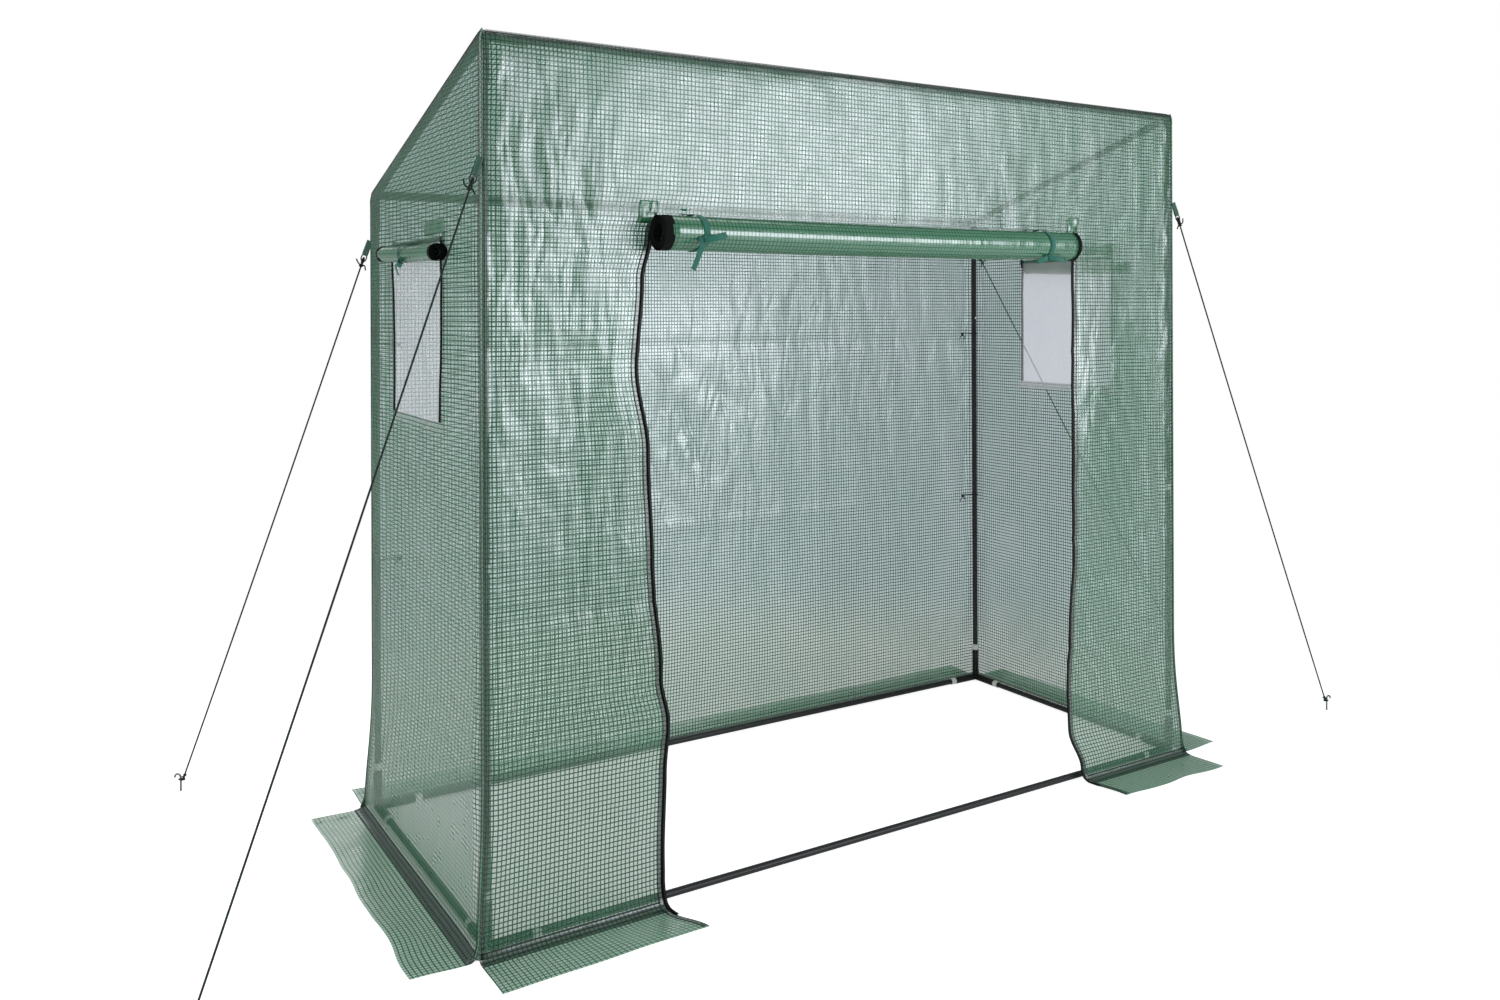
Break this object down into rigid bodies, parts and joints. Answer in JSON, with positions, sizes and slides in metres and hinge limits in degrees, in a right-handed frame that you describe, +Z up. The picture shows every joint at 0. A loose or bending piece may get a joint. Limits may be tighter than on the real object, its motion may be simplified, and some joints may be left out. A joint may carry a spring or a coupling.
{
  "type": "mini walk-in greenhouse",
  "caption": "Walk-in lean-to greenhouse: steel tube frame, reinforced sheet cover with roll-up door, side windows with insect net, ground skirts and guy ropes.",
  "frame": {"origin": "on the ground under the middle of the frame and its skirts", "axes": "+X to the right of the door as seen from the front, +Y from the tall front to the low back, +Z up"},
  "size_m": [3.5912, 1.3428, 1.785],
  "materials": {
    "frame_steel": "black powder coat, satin",
    "connector_plastic": "moulded black",
    "cover_sheet": "translucent green film with dark green reinforcing grid, glossy",
    "rolled_sheet": "many layers of the glossy green sheet rolled up",
    "insect_net": "fine white net",
    "guy_cord": "braided cord",
    "tie_webbing": "woven tape",
    "zip_black": "black",
    "peg_steel": "zinc plated"
  },
  "bodies": {
    "greenhouse": {"corner_bottom_back_left": "connector_plastic", "corner_bottom_back_right": "connector_plastic", "corner_bottom_front_left": "connector_plastic", "corner_bottom_front_right": "connector_plastic", "corner_top_back_left": "connector_plastic", "corner_top_back_right": "connector_plastic", "corner_top_front_left": "connector_plastic", "corner_top_front_right": "connector_plastic", "cover_back": "cover_sheet", "cover_front_header": "cover_sheet", "cover_front_left": "cover_sheet", "cover_front_right": "cover_sheet", "cover_left_wall": "cover_sheet", "cover_right_wall": "cover_sheet", "cover_roof": "cover_sheet", "door_curtain": "cover_sheet", "guy_peg_back_left": "peg_steel", "guy_peg_back_right": "peg_steel", "guy_peg_front_left": "peg_steel", "guy_peg_front_right": "peg_steel", "guy_rope_back_left": "guy_cord", "guy_rope_back_right": "guy_cord", "guy_rope_front_left": "guy_cord", "guy_rope_front_right": "guy_cord", "guy_tab_back_left": "tie_webbing", "guy_tab_back_right": "tie_webbing", "guy_tab_front_left": "tie_webbing", "guy_tab_front_right": "tie_webbing", "rail_bottom_back": "frame_steel", "rail_bottom_front": "frame_steel", "rail_bottom_left": "frame_steel", "rail_bottom_right": "frame_steel", "rail_roof_left": "frame_steel", "rail_roof_right": "frame_steel", "rail_top_back": "frame_steel", "rail_top_front": "frame_steel", "skirt_back": "cover_sheet", "skirt_front_left": "cover_sheet", "skirt_front_right": "cover_sheet", "skirt_left": "cover_sheet", "skirt_right": "cover_sheet", "upright_back_left": "frame_steel", "upright_back_right": "frame_steel", "upright_front_left_lower": "frame_steel", "upright_front_left_upper": "frame_steel", "upright_front_right_lower": "frame_steel", "upright_front_right_upper": "frame_steel", "window_curtain_left": "cover_sheet", "window_curtain_right": "cover_sheet", "window_net_left": "insect_net", "window_net_right": "insect_net"},
    "door_roll": {"door_roll": "rolled_sheet"},
    "window_roll_left": {"window_roll_left": "rolled_sheet"},
    "window_roll_right": {"window_roll_right": "rolled_sheet"},
    "door_zip_slider_left": {"door_zip_slider_left": "zip_black"},
    "door_zip_slider_right": {"door_zip_slider_right": "zip_black"},
    "window_zip_slider_left_back": {"window_zip_slider_left_back": "zip_black"},
    "window_zip_slider_left_front": {"window_zip_slider_left_front": "zip_black"},
    "window_zip_slider_right_back": {"window_zip_slider_right_back": "zip_black"},
    "window_zip_slider_right_front": {"window_zip_slider_right_front": "zip_black"}
  },
  "joints": [
    {"name": "door_roll_down", "type": "slide", "parent": "greenhouse", "child": "door_roll", "axis": [0, 0, -1], "range_m": [0, 1.34], "deforming": ["door_curtain"]},
    {"name": "window_roll_down_left", "type": "slide", "parent": "greenhouse", "child": "window_roll_left", "axis": [0, 0, -1], "range_m": [0, 0.38], "deforming": ["window_curtain_left"]},
    {"name": "window_roll_down_right", "type": "slide", "parent": "greenhouse", "child": "window_roll_right", "axis": [0, 0, -1], "range_m": [0, 0.38], "deforming": ["window_curtain_right"]},
    {"name": "door_zip_down_left", "type": "slide", "parent": "greenhouse", "child": "door_zip_slider_left", "axis": [0, 0, -1], "range_m": [0, 1.335]},
    {"name": "door_zip_down_right", "type": "slide", "parent": "greenhouse", "child": "door_zip_slider_right", "axis": [0, 0, -1], "range_m": [0, 1.335]},
    {"name": "window_zip_down_left_front", "type": "slide", "parent": "greenhouse", "child": "window_zip_slider_left_front", "axis": [0, 0, -1], "range_m": [0, 0.36]},
    {"name": "window_zip_down_left_back", "type": "slide", "parent": "greenhouse", "child": "window_zip_slider_left_back", "axis": [0, 0, -1], "range_m": [0, 0.36]},
    {"name": "window_zip_down_right_front", "type": "slide", "parent": "greenhouse", "child": "window_zip_slider_right_front", "axis": [0, 0, -1], "range_m": [0, 0.36]},
    {"name": "window_zip_down_right_back", "type": "slide", "parent": "greenhouse", "child": "window_zip_slider_right_back", "axis": [0, 0, -1], "range_m": [0, 0.36]}
  ]
}
